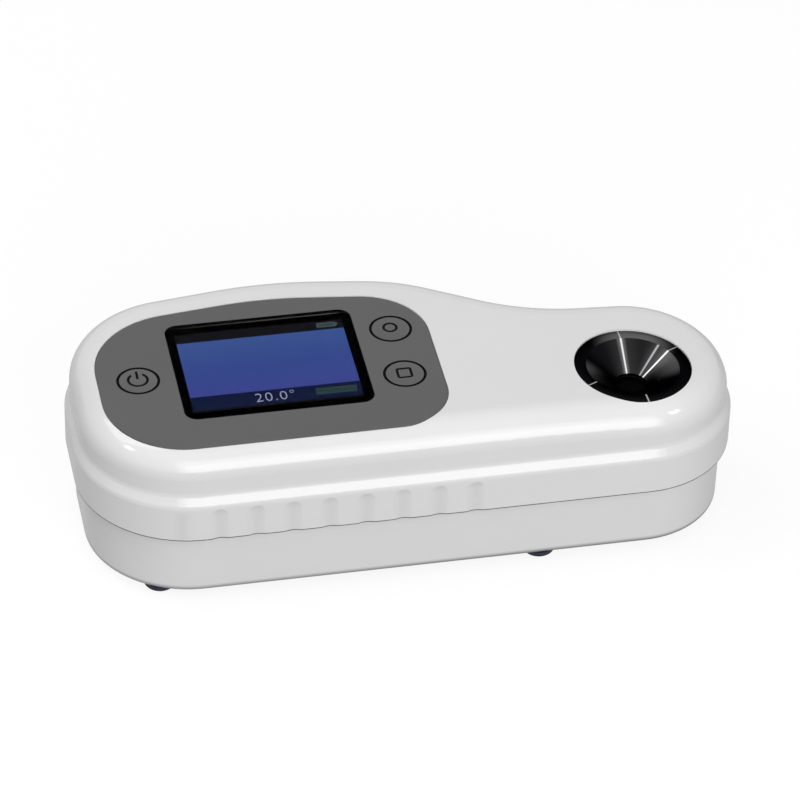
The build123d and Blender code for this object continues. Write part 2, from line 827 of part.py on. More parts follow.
# Battery door: hooked tabs at the back, a latch rib at the front and grip lines outside
with BuildPart() as battery_door:
    with BuildSketch(Plane.XY.offset(case_floor)):
        with Locations((door_x, door_y)):
            RectangleRounded(door_length, door_width, door_corner)
    extrude(amount=door_thickness)
    with BuildSketch(Plane.XY.offset(door_top)):
        with Locations(*[(x, door_back - tab_thickness / 2) for x, y in tab_places]):
            Rectangle(tab_width, tab_thickness)
    extrude(amount=floor_thickness - door_thickness + tab_lift + tab_thickness)
    with BuildSketch(Plane.XY.offset(floor_top + tab_lift)):
        with Locations(*[(x, door_back - tab_thickness + (tab_thickness + tab_over) / 2) for x, y in tab_places]):
            Rectangle(tab_width, tab_thickness + tab_over)
    extrude(amount=tab_thickness)
    with BuildSketch(Plane.XY.offset(door_top)):
        with Locations((door_x, door_front + door_ledge + door_gap + latch_thickness / 2)):
            Rectangle(latch_width, latch_thickness)
    extrude(amount=latch_rise)
    with BuildSketch(Plane.XY.offset(case_floor)):
        with Locations((door_x, door_front + grip_pitch * (grip_count + 1) / 2)):
            with GridLocations(1, grip_pitch, 1, grip_count):
                Rectangle(grip_length, grip_width)
    extrude(amount=grip_depth, mode=Mode.SUBTRACT)
save(battery_door, "battery_door")

# Sample well: a turned steel dish with a flat rim, a cone and a hole over the prism
with BuildPart() as sample_well:
    with BuildSketch(well_side):
        with BuildLine():
            Polyline(
                (well_hole, -cone_depth),
                (well_rim, 0),
                (well_radius, 0),
                (well_radius, -well_flange),
                (well_hub, -well_flange),
                (well_hub, -well_depth),
                (pocket_radius, -well_depth),
                (pocket_radius, -cone_depth - well_lip),
                (well_hole, -cone_depth - well_lip),
                (well_hole, -cone_depth),
            )
        make_face()
    revolve(axis=well_axis)
    with BuildSketch(well_level(well_depth)):
        with Locations(*screw_places):
            Circle(small_pilot)
    extrude(amount=small_reach, mode=Mode.SUBTRACT)
    with BuildSketch(well_level(well_depth)):
        with Locations((0, -screw_circle)):
            Circle(probe_radius + probe_gap)
    extrude(amount=probe_rise, mode=Mode.SUBTRACT)
save(sample_well, "sample_well")

with BuildPart() as well_seal:
    with BuildSketch(well_level(well_flange + seal_thickness)):
        Circle(seal_outer)
        Circle(seal_inner, mode=Mode.SUBTRACT)
    extrude(amount=seal_thickness)
save(well_seal, "well_seal")

# Prism and its gasket under the hole
with BuildPart() as prism_gasket:
    with BuildSketch(well_level(prism_depth)):
        Circle(gasket_outer)
        Circle(gasket_inner, mode=Mode.SUBTRACT)
    extrude(amount=gasket_thickness)
save(prism_gasket, "prism_gasket")


def prism_outline(grow):
    """Side view of the prism: a flat top and two faces that look along the arms of the optics."""
    top = prism_top / 2 + grow
    low = prism_top / 2 - prism_height / tan(radians(optic_angle)) + grow
    floor = -prism_depth - prism_height - grow
    with BuildSketch(well_side.offset(-prism_width / 2 - grow)) as side:
        with BuildLine():
            Polyline((-top, -prism_depth), (top, -prism_depth), (low, floor), (-low, floor), (-top, -prism_depth))
        make_face()
    return side.sketch


with BuildPart() as prism:
    extrude(prism_outline(0.0), amount=prism_width)
save(prism, "prism")

# Optics block: a flange under the well and two arms that hold the lamp and the line sensor
turn = radians(optic_angle)
arm_middle = (arm_reach * sin(turn), -prism_depth - arm_reach * cos(turn))
arm_upper = (arm_middle[0] + arm_width / 2 * cos(turn), arm_middle[1] + arm_width / 2 * sin(turn))
arm_lower = (arm_middle[0] - arm_width / 2 * cos(turn), arm_middle[1] - arm_width / 2 * sin(turn))
with BuildPart() as optics_block:
    with BuildSketch(well_side.offset(-block_width / 2)):
        with BuildLine():
            Polyline(
                (-arm_upper[0], -well_depth),
                (arm_upper[0], -well_depth),
                arm_upper,
                arm_lower,
                (-arm_lower[0], arm_lower[1]),
                (-arm_upper[0], arm_upper[1]),
                (-arm_upper[0], -well_depth),
            )
        make_face()
    extrude(amount=block_width)
    with BuildSketch(well_level(well_depth + plate_thickness)):
        Circle(plate_radius)
    extrude(amount=plate_thickness)
    extrude(prism_outline(prism_gap), amount=prism_width + 2 * prism_gap, mode=Mode.SUBTRACT)
    for side in (-1, 1):
        with BuildSketch(arm_level(side)):
            Circle(channel_radius)
        extrude(amount=-arm_reach, mode=Mode.SUBTRACT)
        with BuildSketch(arm_level(side)):
            Circle(lens_radius + lens_gap)
        extrude(amount=-lens_bay, mode=Mode.SUBTRACT)
    with BuildSketch(arm_level(-1)):
        Rectangle(sensor_length + 4 * lens_gap, sensor_width + 4 * lens_gap)
    extrude(amount=-sensor_height - lens_gap, mode=Mode.SUBTRACT)
    with BuildSketch(well_level(well_depth)):
        with Locations(*screw_places):
            Circle(small_pilot + 0.15)
        with Locations((0, -screw_circle)):
            Circle(probe_radius + probe_gap)
    extrude(amount=-plate_thickness, mode=Mode.SUBTRACT)
save(optics_block, "optics_block")

with BuildPart() as optics_screws:
    with BuildSketch(well_level(well_depth + plate_thickness + small_head_height)):
        with Locations(*screw_places):
            Circle(small_head)
    extrude(amount=small_head_height)
    with BuildSketch(well_level(well_depth + plate_thickness)):
        with Locations(*screw_places):
            Circle(small_screw)
    extrude(amount=plate_thickness + small_reach - 0.5)
save(optics_screws, "optics_screws")

# Temperature probe, pushed up through the flange into the steel
with BuildPart() as temperature_probe:
    with BuildSketch(well_level(well_depth + plate_thickness + probe_tail)):
        with Locations((0, -screw_circle)):
            Circle(probe_radius)
    extrude(amount=probe_tail + plate_thickness + probe_rise)
save(temperature_probe, "temperature_probe")

# Lenses at the bottom of each lens bay, convex towards the boards
for side, name in ((1, "lamp_lens"), (-1, "sensor_lens")):
    lens_plane = arm_level(side, -lens_bay)
    lens_side = Plane(lens_plane.location * Plane.XZ.location)
    crown = lens_thickness - lens_edge
    crown_radius = (lens_radius**2 + crown**2) / (2 * crown)
    with BuildPart() as lens:
        with BuildSketch(lens_side):
            with BuildLine():
                Polyline((0, 0), (lens_radius, 0), (lens_radius, lens_edge))
                RadiusArc((lens_radius, lens_edge), (0, lens_thickness), -crown_radius)
                Line((0, lens_thickness), (0, 0))
            make_face()
        revolve(axis=Axis(lens_plane.origin, lens_plane.z_dir))
    save(lens, name)

# Small boards on the ends of the arms, with the lamp and the line sensor on their inner sides
for side, name in ((1, "lamp_board"), (-1, "sensor_board")):
    with BuildPart() as arm_board:
        with BuildSketch(arm_level(side)):
            Rectangle(small_board_width, arm_width)
        extrude(amount=small_board)
    save(arm_board, name)

with BuildPart() as lamp:
    with BuildSketch(arm_level(1, -lamp_length + lamp_radius)):
        Circle(lamp_radius)
    extrude(amount=lamp_length - lamp_radius)
    with BuildSketch(Plane(arm_level(1, -lamp_length + lamp_radius).location * Plane.XZ.location)):
        with Locations((0, 0)):
            Circle(lamp_radius)
            Rectangle(4 * lamp_radius, 2 * lamp_radius, align=(Align.CENTER, Align.MIN), mode=Mode.SUBTRACT)
            Rectangle(2 * lamp_radius, 4 * lamp_radius, align=(Align.MAX, Align.CENTER), mode=Mode.SUBTRACT)
    revolve(axis=Axis(arm_level(1).origin, arm_level(1).z_dir))
save(lamp, "lamp")

with BuildPart() as line_sensor:
    with BuildSketch(arm_level(-1)):
        Rectangle(sensor_length, sensor_width)
    extrude(amount=-sensor_height)
save(line_sensor, "line_sensor")

# Ribbon from the sensor board to its socket on the main board
ribbon_start = arm_level(-1, small_board).origin
ribbon_next = arm_level(-1, small_board + ribbon_out).origin
ribbon_height = board_under - socket_height / 2
ribbon_end = ribbon_socket_x + socket_depth / 2
with BuildPart() as sensor_ribbon:
    with BuildSketch(Plane.XZ.offset(-well_y - ribbon_width / 2)):
        with BuildLine():
            Polyline(
                (ribbon_start.X, ribbon_start.Z),
                (ribbon_next.X, ribbon_next.Z),
                ribbon_low,
                (ribbon_turn, ribbon_height),
                (ribbon_end, ribbon_height),
            )
        trace(line_width=ribbon_thickness)
    extrude(amount=ribbon_width)
save(sensor_ribbon, "sensor_ribbon")
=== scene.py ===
import math

import bmesh
import bpy
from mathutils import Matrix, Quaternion, Vector


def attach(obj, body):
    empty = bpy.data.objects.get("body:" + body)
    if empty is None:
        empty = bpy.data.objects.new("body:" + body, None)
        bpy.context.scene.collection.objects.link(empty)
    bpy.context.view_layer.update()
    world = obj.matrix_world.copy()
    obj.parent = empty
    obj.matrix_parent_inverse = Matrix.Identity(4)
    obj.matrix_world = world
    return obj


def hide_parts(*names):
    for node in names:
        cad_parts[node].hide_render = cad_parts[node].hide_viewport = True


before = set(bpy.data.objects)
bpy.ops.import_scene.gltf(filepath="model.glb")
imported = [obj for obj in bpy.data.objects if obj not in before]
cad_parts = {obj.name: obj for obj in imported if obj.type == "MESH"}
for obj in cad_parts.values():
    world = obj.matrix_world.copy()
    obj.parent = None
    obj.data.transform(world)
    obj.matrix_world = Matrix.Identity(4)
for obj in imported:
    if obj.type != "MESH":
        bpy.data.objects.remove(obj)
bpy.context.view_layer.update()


# Lower case: one thick moulding in glossy white plastic, which carries the battery tray and stands
# on the feet. It is polished in the mould, so that only a very fine orange peel shows in its
# reflections, and painted shade darkens it along its bottom edge.
mm = 0.001


class Socket:
    """An output of a shader node. Arithmetic on it adds Math nodes to the same material."""

    def __init__(self, output):
        self.output = output

    def node(self, kind, settings=None, inputs=None, take=0):
        """Adds a node of this kind, sets its settings and then its inputs, and gives one output."""
        tree = self.output.id_data
        added = tree.nodes.new(kind)
        for name, value in (settings or {}).items():
            setattr(added, name, value)
        for key, value in (inputs or {}).items():
            if isinstance(value, Socket):
                tree.links.new(value.output, added.inputs[key])
            else:
                added.inputs[key].default_value = value
        return Socket(added.outputs[take])

    def math(self, operation, *values):
        return self.node("ShaderNodeMath", {"operation": operation}, dict(enumerate(values)))

    def __add__(self, other):
        return self.math("ADD", self, other)

    def __radd__(self, other):
        return self.math("ADD", other, self)

    def __sub__(self, other):
        return self.math("SUBTRACT", self, other)

    def __rsub__(self, other):
        return self.math("SUBTRACT", other, self)

    def __mul__(self, other):
        return self.math("MULTIPLY", self, other)

    def __rmul__(self, other):
        return self.math("MULTIPLY", other, self)

    def __truediv__(self, other):
        return self.math("DIVIDE", self, other)

    def __pow__(self, other):
        return self.math("POWER", self, other)

    def __abs__(self):
        return self.math("ABSOLUTE", self)

    def larger(self, other):
        """The larger of this value and another."""
        return self.math("MAXIMUM", self, other)

    def noise(self, scale, detail=2.0):
        """Cloudy noise from 0 to 1, where this socket is a place."""
        inputs = {"Vector": self, "Scale": scale, "Detail": detail}
        return self.node("ShaderNodeTexNoise", {}, inputs)

    def cells(self, scale, randomness=1.0):
        """The distance from a place to the nearest of many scattered dots."""
        inputs = {"Vector": self, "Scale": scale, "Randomness": randomness}
        return self.node("ShaderNodeTexVoronoi", {}, inputs)

    def rings(self, scale):
        """Noise from 0 to 1 along one number, such as the distance from an axis."""
        inputs = {"W": self, "Scale": scale, "Detail": 3.0}
        return self.node("ShaderNodeTexNoise", {"noise_dimensions": "1D"}, inputs)

    def wave(self, pitch):
        """Swings from 0 to 1 and back over each pitch."""
        return self.math("SINE", self * (2 * math.pi / pitch)) * 0.5 + 0.5

    def step(self, low, high):
        """Rises smoothly from 0 to 1 as the value goes from low to high."""
        inputs = {"Value": self, "From Min": low, "From Max": high}
        return self.node("ShaderNodeMapRange", {"interpolation_type": "SMOOTHSTEP"}, inputs)

    def within(self, low, high, soft=0.03):
        """1 from low to high and 0 outside, with soft edges."""
        return self.step(low - soft, low + soft) * (1 - self.step(high - soft, high + soft))

    def mix(self, low, high):
        """Blends two colours, low where this number is 0 and high where it is 1."""
        low, high = [value if isinstance(value, Socket) else (*value, 1) for value in (low, high)]
        factor, first_colour, second_colour, blended = 0, 6, 7, 2
        inputs = {factor: self, first_colour: low, second_colour: high}
        return self.node("ShaderNodeMix", {"data_type": "RGBA"}, inputs, take=blended)

    def axes(self, centre=(0, 0, 0), turn=(0, 0, 0)):
        """The three coordinates of a place in millimetres, measured along turned axes."""
        inputs = {"Vector": self, "Location": centre, "Rotation": turn, "Scale": (mm, mm, mm)}
        local = self.node("ShaderNodeMapping", {"vector_type": "TEXTURE"}, inputs)
        first = self.node("ShaderNodeSeparateXYZ", {}, {0: local})
        return [Socket(output) for output in first.output.node.outputs]


class Finish:
    """A material round one Principled shader. Constants are set by name, the rest by drive."""

    def __init__(self, name, **constants):
        self.material = bpy.data.materials.new(name)
        self.material.use_nodes = True
        self.shader = self.material.node_tree.nodes["Principled BSDF"]
        for key, value in constants.items():
            self.shader.inputs[key.replace("_", " ")].default_value = value
        coordinates = self.material.node_tree.nodes.new("ShaderNodeTexCoord")
        self.place = Socket(coordinates.outputs["Object"])

    def drive(self, key, value):
        self.material.node_tree.links.new(value.output, self.shader.inputs[key])

    def bump(self, height, depth):
        """Raises the surface where height is 1 by a depth in metres."""
        inputs = {"Distance": depth, "Height": height}
        self.drive("Normal", height.node("ShaderNodeBump", {}, inputs))


def length(x, y):
    """The distance from the middle in a plane."""
    return (x * x + y * y) ** 0.5


def dress(finish, *names):
    """Gives CAD nodes this finish."""
    for name in names:
        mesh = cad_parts[name].data
        mesh.materials.clear()
        mesh.materials.append(finish.material)


def polished_white(name, shaded_at):
    """Glossy white plastic, with painted shade where a function of x, y and z in millimetres puts
    it.
    """
    white = Finish(name, Specular_IOR_Level=0.15, Coat_Weight=0.9, Coat_Roughness=0.07)
    clean = white.place.noise(28.0, 3.0).mix((0.795, 0.795, 0.795), (0.83, 0.83, 0.828))
    # Painted shade darkens the white where the given function puts it.
    painted_shade = shaded_at(*white.place.axes())
    white.drive("Base Color", painted_shade.mix(clean, (0.12, 0.12, 0.13)))
    white.drive("Roughness", 0.22 + white.place.noise(140.0) * 0.06 + painted_shade * 0.2)
    white.bump(white.place.noise(2600.0, 1.0), 0.01 * mm)
    return white


shade_low, shade_high = 2.0, 4.0


def shaded_bottom_edge(x, y, z):
    """Painted shade along the rounded bottom edge, a little darker to the right."""
    above = z.step(shade_low, shade_low + 0.2)
    below = 1 - z.step(shade_low + 0.3, shade_high)
    return above * below * (0.85 + x * 0.0012)


dress(polished_white("white plastic of the lower case", shaded_bottom_edge), "lower_case")

# Feet: four domed pads of dark blue rubber, moulded in one piece with the barbed stems that snap
# into the floor. The mould leaves them dull and faintly grained, and dust stays low on them.
foot_rubber = Finish("dark blue rubber")
dusty_height = 1.1
worn = foot_rubber.place.noise(420.0, 4.0)
height = foot_rubber.place.axes()[2]
dust = (1 - height.step(0.0, dusty_height)) * worn
foot_rubber.drive("Base Color", dust.mix((0.010, 0.013, 0.030), (0.075, 0.078, 0.088)))
foot_rubber.drive("Roughness", 0.5 + worn * 0.25)
foot_rubber.bump(foot_rubber.place.noise(2100.0), 0.02 * mm)
dress(foot_rubber, "foot_front_left", "foot_front_right", "foot_back_left", "foot_back_right")

# Battery tray: a thin box moulded in matt white plastic, welded over the opening in the floor.
# Three cells lie in it between contacts of nickel plated spring steel, and two sleeved leads run
# up to the board.
tray_plastic = Finish("matt white plastic", Roughness=0.55)
cloudy = tray_plastic.place.noise(60.0)
tray_plastic.drive("Base Color", cloudy.mix((0.62, 0.62, 0.60), (0.70, 0.70, 0.68)))
tray_plastic.bump(tray_plastic.place.noise(1800.0), 0.03 * mm)
dress(tray_plastic, "battery_tray")

nickel = Finish("nickel plated spring steel", Metallic=1.0)
stretched = {"Vector": nickel.place, "Scale": (40, 40, 600)}
rubbed = nickel.place.node("ShaderNodeMapping", {}, stretched).noise(8.0, 3.0)
nickel.drive("Base Color", rubbed.mix((0.58, 0.56, 0.52), (0.74, 0.72, 0.67)))
nickel.drive("Roughness", 0.18 + rubbed * 0.2)
dress(nickel, "contact_plates", "contact_leaves")

jacket = Finish("printed cell jacket")
cell_start, cell_end = -54.25, -10.55
sleeve_start, sleeve_end = cell_start + 0.8, cell_end - 0.9
band_start, line_start, line_width = cell_end - 14.0, cell_end - 15.1, 0.5
x, y, z = jacket.place.axes()
sleeve = x.within(sleeve_start, sleeve_end, 0.05)
band = x.within(band_start, sleeve_end, 0.06)
line = x.within(line_start, line_start + line_width, 0.04)
printed = line.mix(band.mix((0.022, 0.030, 0.060), (0.42, 0.43, 0.45)), (0.62, 0.62, 0.63))
jacket.drive("Base Color", sleeve.mix((0.60, 0.59, 0.57), printed))
jacket.drive("Metallic", 1 - sleeve * 0.55)
jacket.drive("Roughness", 0.24 + jacket.place.noise(700.0) * 0.14)
jacket.bump(sleeve, 0.08 * mm)
dress(jacket, "battery_cell_1", "battery_cell_2", "battery_cell_3")

sleeving = Finish("soft lead sleeve", Roughness=0.42)
between_leads = -50.0
red_side = sleeving.place.axes()[0].step(between_leads - 0.05, between_leads + 0.05)
sleeving.drive("Base Color", red_side.mix((0.012, 0.012, 0.013), (0.46, 0.014, 0.012)))
sleeving.bump(sleeving.place.noise(900.0), 0.03 * mm)
dress(sleeving, "battery_leads")

# Battery door: a flat lid in the white of the case, with two hooked tabs, a latch rib and four grip
# lines. It closes flush with the floor. Fingers have dulled it a little round the grip lines.
door_plastic = Finish("handled white plastic", IOR=1.5)
grip_middle = (-34.0, -16.5)
x, y, z = door_plastic.place.axes()
handled = 1 - length((x - grip_middle[0]) * 0.6, y - grip_middle[1]).step(2.0, 9.0)
door_plastic.drive("Base Color", handled.mix((0.81, 0.81, 0.81), (0.765, 0.76, 0.745)))
door_plastic.drive("Roughness", 0.27 + handled * 0.14 + door_plastic.place.noise(160.0) * 0.06)
door_plastic.bump(door_plastic.place.noise(2600.0, 1.0), 0.01 * mm)
dress(door_plastic, "battery_door")

# Circuit boards: glass fibre under green solder mask, with copper tracks that show through as paler
# lines. The main board hangs from the cover on four screws, and the small ones close the ends of
# the optics.
track_pitch, feed_pitch, pad_radius = 1.27, 2.54, 2.35


def circuit_board(name, along, across, pads=()):
    """Solder mask over tracks that run along one coordinate, with bare gold round the screws."""
    board = Finish(name, Roughness=0.32)
    parts = board.place.axes()
    runs = parts[across].wave(track_pitch).step(0.62, 0.74)
    runs = runs * board.place.noise(95.0, 0.0).step(0.44, 0.47)
    feeds = parts[along].wave(feed_pitch).step(0.8, 0.88)
    feeds = feeds * board.place.noise(120.0, 0.0).step(0.56, 0.59)
    copper = runs.larger(feeds)
    bare = 1 - board.place.cells(260.0).step(0.085, 0.1)
    for centre in pads:
        from_screw = length(parts[0] - centre[0], parts[1] - centre[1])
        bare = bare.larger(1 - from_screw.step(pad_radius - 0.05, pad_radius + 0.05))
    mask = copper.mix((0.004, 0.060, 0.026), (0.010, 0.120, 0.052))
    board.drive("Base Color", bare.mix(mask, (0.80, 0.56, 0.22)))
    board.drive("Metallic", bare)
    board.bump(copper, 0.04 * mm)
    return board


board_posts = [(-67.0, 14.5), (-67.0, -20.0), (5.0, 18.5), (5.0, -24.4)]
dress(circuit_board("main circuit board", 0, 1, board_posts), "main_board")
dress(circuit_board("small circuit boards", 1, 0), "lamp_board", "sensor_board")

# Parts on the main board: the processor, two sockets for the leads and the ribbon, and three snap
# switches. The chips are matt epoxy, the sockets are ivory nylon, and each switch has a tin plated
# shell on a black foot.
epoxy = Finish("chip epoxy", Roughness=0.6)
chip_corner = (-33.6, -3.6)
x, y, z = epoxy.place.axes()
mark = 1 - length(x - chip_corner[0], y - chip_corner[1]).step(0.45, 0.52)
epoxy.drive("Base Color", mark.mix((0.014, 0.014, 0.015), (0.05, 0.05, 0.05)))
epoxy.bump(epoxy.place.noise(3200.0) - mark, 0.03 * mm)
dress(epoxy, "processor", "line_sensor")

nylon = Finish("ivory nylon", Roughness=0.45)
slots = nylon.place.axes()[0].wave(1.0).step(0.55, 0.7)
nylon.drive("Base Color", slots.mix((0.46, 0.43, 0.36), (0.66, 0.62, 0.52)))
nylon.bump(nylon.place.noise(1500.0), 0.03 * mm)
dress(nylon, "ribbon_socket", "lead_socket")

tin = Finish("tin plated shell")
shell_bottom = 40.6
shell = tin.place.axes()[2].step(shell_bottom - 0.05, shell_bottom + 0.05)
tin.drive("Metallic", shell)
tin.drive("Base Color", shell.mix((0.012, 0.012, 0.012), (0.55, 0.55, 0.54)))
tin.drive("Roughness", 0.25 + tin.place.noise(500.0) * 0.2)
dress(tin, "power_switch", "zero_switch", "read_switch")

acetal = Finish("black acetal", Roughness=0.38)
cloudy = acetal.place.noise(300.0)
acetal.drive("Base Color", cloudy.mix((0.010, 0.010, 0.010), (0.020, 0.020, 0.020)))
dress(acetal, "power_plunger", "zero_plunger", "read_plunger")

# Zinc plated screws: small pan heads hold the board and the optics, and five longer ones close the
# case from below. Each long screw has a cross recess in a rounded head, and sits at the bottom of
# its well in the lower case.
zinc = Finish("bright zinc plate", Metallic=1.0)
head_radius, head_low, head_high = 2.7, 10.0, 12.0
stain = zinc.place.noise(380.0, 4.0)
zinc.drive("Base Color", stain.mix((0.46, 0.47, 0.49), (0.66, 0.66, 0.65)))
zinc.drive("Roughness", 0.22 + stain * 0.22)
height = zinc.place.axes()[2]
thread_start, thread_pitch = head_high + 0.5, 0.55
thread = height.wave(thread_pitch) * height.step(thread_start - 0.1, thread_start + 0.1)
zinc.bump(thread, 0.06 * mm)
small_zinc = Finish("zinc plate on small screws", Metallic=1.0)
stain = small_zinc.place.noise(600.0)
small_zinc.drive("Base Color", stain.mix((0.45, 0.45, 0.47), (0.62, 0.62, 0.62)))
small_zinc.drive("Roughness", 0.25 + small_zinc.place.noise(900.0) * 0.2)
dress(small_zinc, "board_screws", "optics_screws")


def edit(kind, test):
    """Goes into edit mode and selects the vertices, edges or faces whose middle passes the test."""
    bpy.ops.object.mode_set(mode="EDIT")
    bpy.ops.mesh.select_mode(type=kind)
    bpy.ops.mesh.select_all(action="DESELECT")
    mesh = bmesh.from_edit_mesh(bpy.context.object.data)
    for element in {"VERT": mesh.verts, "EDGE": mesh.edges, "FACE": mesh.faces}[kind]:
        corners = [element] if kind == "VERT" else element.verts
        middle = sum((corner.co for corner in corners), Vector()) / len(corners)
        if test(middle / mm):
            element.select_set(True)
    mesh.select_flush_mode()
    bmesh.update_edit_mesh(bpy.context.object.data)


def settle(piece, name, body, slot, finish, *nodes):
    """Puts a piece's place into its mesh, names and dresses it, and fixes it to its body."""
    if bpy.context.mode != "OBJECT":
        bpy.ops.object.mode_set(mode="OBJECT")
    bpy.ops.object.select_all(action="DESELECT")
    piece.select_set(True)
    bpy.context.view_layer.objects.active = piece
    bpy.ops.object.convert(target="MESH")
    bpy.ops.object.transform_apply(location=True, rotation=True, scale=True)
    piece.name = name
    piece.data.materials.clear()
    piece.data.materials.append(finish.material)
    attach(piece, body)
    if nodes:
        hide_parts(*nodes)


case_bosses = [(-80.2, -3.4), (-4.0, -31.6), (16.5, 20.0), (44.0, -31.6), (74.2, 1.5)]
shank_radius, shank_length, tip_length, tip_taper = 1.45, 18.6, 1.4, 0.3
recess_length, recess_width, recess_depth, recess_taper = 3.2, 0.75, 1.0, 0.55
head_rounding = 0.7
bpy.ops.object.select_all(action="DESELECT")
bpy.ops.mesh.primitive_cylinder_add(
    vertices=40,
    radius=head_radius * mm,
    depth=(head_high - head_low) * mm,
    location=(0, 0, (head_low + head_high) / 2 * mm),
)
screw = bpy.context.object
bpy.ops.object.transform_apply(location=True)
edit("FACE", lambda middle: middle.z > head_high - 0.1)
bpy.ops.mesh.inset(thickness=(head_radius - shank_radius) * mm)
for rise in (shank_length, tip_length):
    bpy.ops.mesh.extrude_region_move(TRANSFORM_OT_translate={"value": (0, 0, rise * mm)})
bpy.ops.transform.resize(value=(tip_taper, tip_taper, 1))
edit("EDGE", lambda middle: middle.z < head_low + 0.1)
bpy.ops.mesh.bevel(offset=head_rounding * mm, segments=4, profile=0.6)
bpy.ops.object.mode_set(mode="OBJECT")
for across, along in ((recess_length, recess_width), (recess_width, recess_length)):
    bpy.ops.object.select_all(action="DESELECT")
    bpy.ops.mesh.primitive_cube_add(size=mm, location=(0, 0, head_low * mm))
    cutter = bpy.context.object
    cutter.scale = (across, along, 2 * recess_depth)
    bpy.ops.object.transform_apply(location=True, scale=True)
    edit("FACE", lambda middle: middle.z > head_low + recess_depth - 0.1)
    bpy.ops.transform.resize(value=(recess_taper, recess_taper, 1))
    bpy.ops.object.mode_set(mode="OBJECT")
    bpy.context.view_layer.objects.active = screw
    cut = screw.modifiers.new("recess", "BOOLEAN")
    cut.object = cutter
    cut.operation = "DIFFERENCE"
    cut.solver = "EXACT"
    bpy.ops.object.modifier_apply(modifier="recess")
    bpy.data.objects.remove(cutter)
screws = []
for place in case_bosses:
    copied = screw.copy()
    copied.data = screw.data.copy()
    bpy.context.scene.collection.objects.link(copied)
    copied.location = (place[0] * mm, place[1] * mm, 0)
    screws.append(copied)
bpy.data.objects.remove(screw)
bpy.ops.object.select_all(action="DESELECT")
for copied in screws:
    copied.select_set(True)
bpy.context.view_layer.objects.active = screws[0]
bpy.ops.object.join()
bpy.ops.object.shade_smooth_by_angle(angle=math.radians(32))
settle(screws[0], "cross_recess_screws", "case", "screw_steel", zinc, "case_screws")

# Display: a colour panel over a white light guide, held in a black frame, with a folded film down
# to the board. The panel is lit. It shows a dark strip with a battery sign, a blue field, and a
# dark footer with a green box.
light_guide = Finish("dotted light guide", Roughness=0.3)
dots = light_guide.place.cells(900.0, 0.1).step(0.2, 0.3)
light_guide.drive("Base Color", dots.mix((0.92, 0.92, 0.92), (0.74, 0.77, 0.80)))
dress(light_guide, "display_backlight")

black_frame = Finish("black moulded frame", Roughness=0.5)
cloudy = black_frame.place.noise(90.0)
black_frame.drive("Base Color", cloudy.mix((0.010, 0.010, 0.011), (0.018, 0.018, 0.019)))
black_frame.bump(black_frame.place.noise(1700.0), 0.03 * mm)
dress(black_frame, "display_frame")

film = Finish("amber film with copper lines", Roughness=0.3)
line = film.place.axes()[0].wave(0.5).step(0.5, 0.6)
film.drive("Base Color", line.mix((0.36, 0.12, 0.015), (0.62, 0.26, 0.06)))
film.drive("Metallic", line * 0.5)
dress(film, "display_flex")


def lit(name):
    """Something that glows, over a dark ground that mirrors nothing."""
    dark = (0.002, 0.002, 0.003, 1)
    return Finish(name, Base_Color=dark, Emission_Strength=1.0, Specular_IOR_Level=0.0)


def block(x, y, sides, inset=0.0):
    """1 on a rectangle given by its left, right, lower and upper side, or inset from them."""
    left, right, low, high = sides
    across = x.within(left + inset, right - inset, 0.05)
    return across * y.within(low + inset, high - inset, 0.05)


panel = lit("lit colour panel")
lit_left, lit_right = -57.2, -12.2
field_top, field_low, footer_low = 12.1, -11.3, -17.0
green_box, battery, battery_nub = (
    (-24.3, -13.5, -15.4, -12.8),
    (-19.2, -14.1, 13.1, 15.1),
    (-14.1, -13.6, 13.6, 14.6),
)
outline = 0.35
x, y, z = panel.place.axes()
field = block(x, y, (lit_left, lit_right, field_low, field_top))
footer = block(x, y, (lit_left, lit_right, footer_low, field_low))
upper = y.step(-2.0, field_top - 0.1).mix((0.031, 0.058, 0.245), (0.037, 0.080, 0.262))
blue = y.step(field_low + 0.3, -3.0).mix((0.039, 0.051, 0.250), upper)
blue = (panel.place.noise(70.0) * 0.25).mix(blue, (0.060, 0.085, 0.300))
shown = field.mix((0.0035, 0.0035, 0.0048), blue)
shown = footer.mix(shown, (0.0035, 0.0075, 0.034))
green = block(x, y, green_box, outline).mix((0.030, 0.052, 0.054), (0.018, 0.040, 0.040))
shown = block(x, y, green_box).mix(shown, green)
filled = block(x, y, battery, outline).mix((0.062, 0.088, 0.090), (0.027, 0.058, 0.050))
battery_sign = block(x, y, battery).larger(block(x, y, battery_nub))
panel.drive("Emission Color", battery_sign.mix(shown, filled))
panel.drive("Roughness", 0.3 + x.wave(0.141) * 0.05)
dress(panel, "display_panel")

# Reading on the display: plain digits of light and a small degree ring, in the left of the footer.
# They lie just over the panel and glow in a pale blue grey.
digit_light = lit("pale digits of light")
uneven = digit_light.place.noise(900.0)
digit_light.drive("Emission Color", uneven.mix((0.24, 0.26, 0.42), (0.36, 0.38, 0.56)))
reading_place = (-40.6 * mm, -15.9 * mm, 45.83 * mm)
bpy.ops.object.select_all(action="DESELECT")
bpy.ops.object.text_add(location=reading_place)
digits = bpy.context.object
digits.data.body = "20.0°"
digits.data.size = 5.1 * mm
digits.data.extrude = 0.02 * mm
digits.data.space_character = 1.15
digits.data.offset = -0.07 * mm
digits.scale = (0.88, 1, 1)
settle(digits, "reading_digits", "case", "display_glass", digit_light)
bpy.ops.object.mode_set(mode="EDIT")
bpy.ops.mesh.select_all(action="SELECT")
bpy.ops.mesh.remove_doubles(threshold=0.00002 * mm)
bpy.ops.mesh.normals_make_consistent(inside=False)
bpy.ops.object.mode_set(mode="OBJECT")
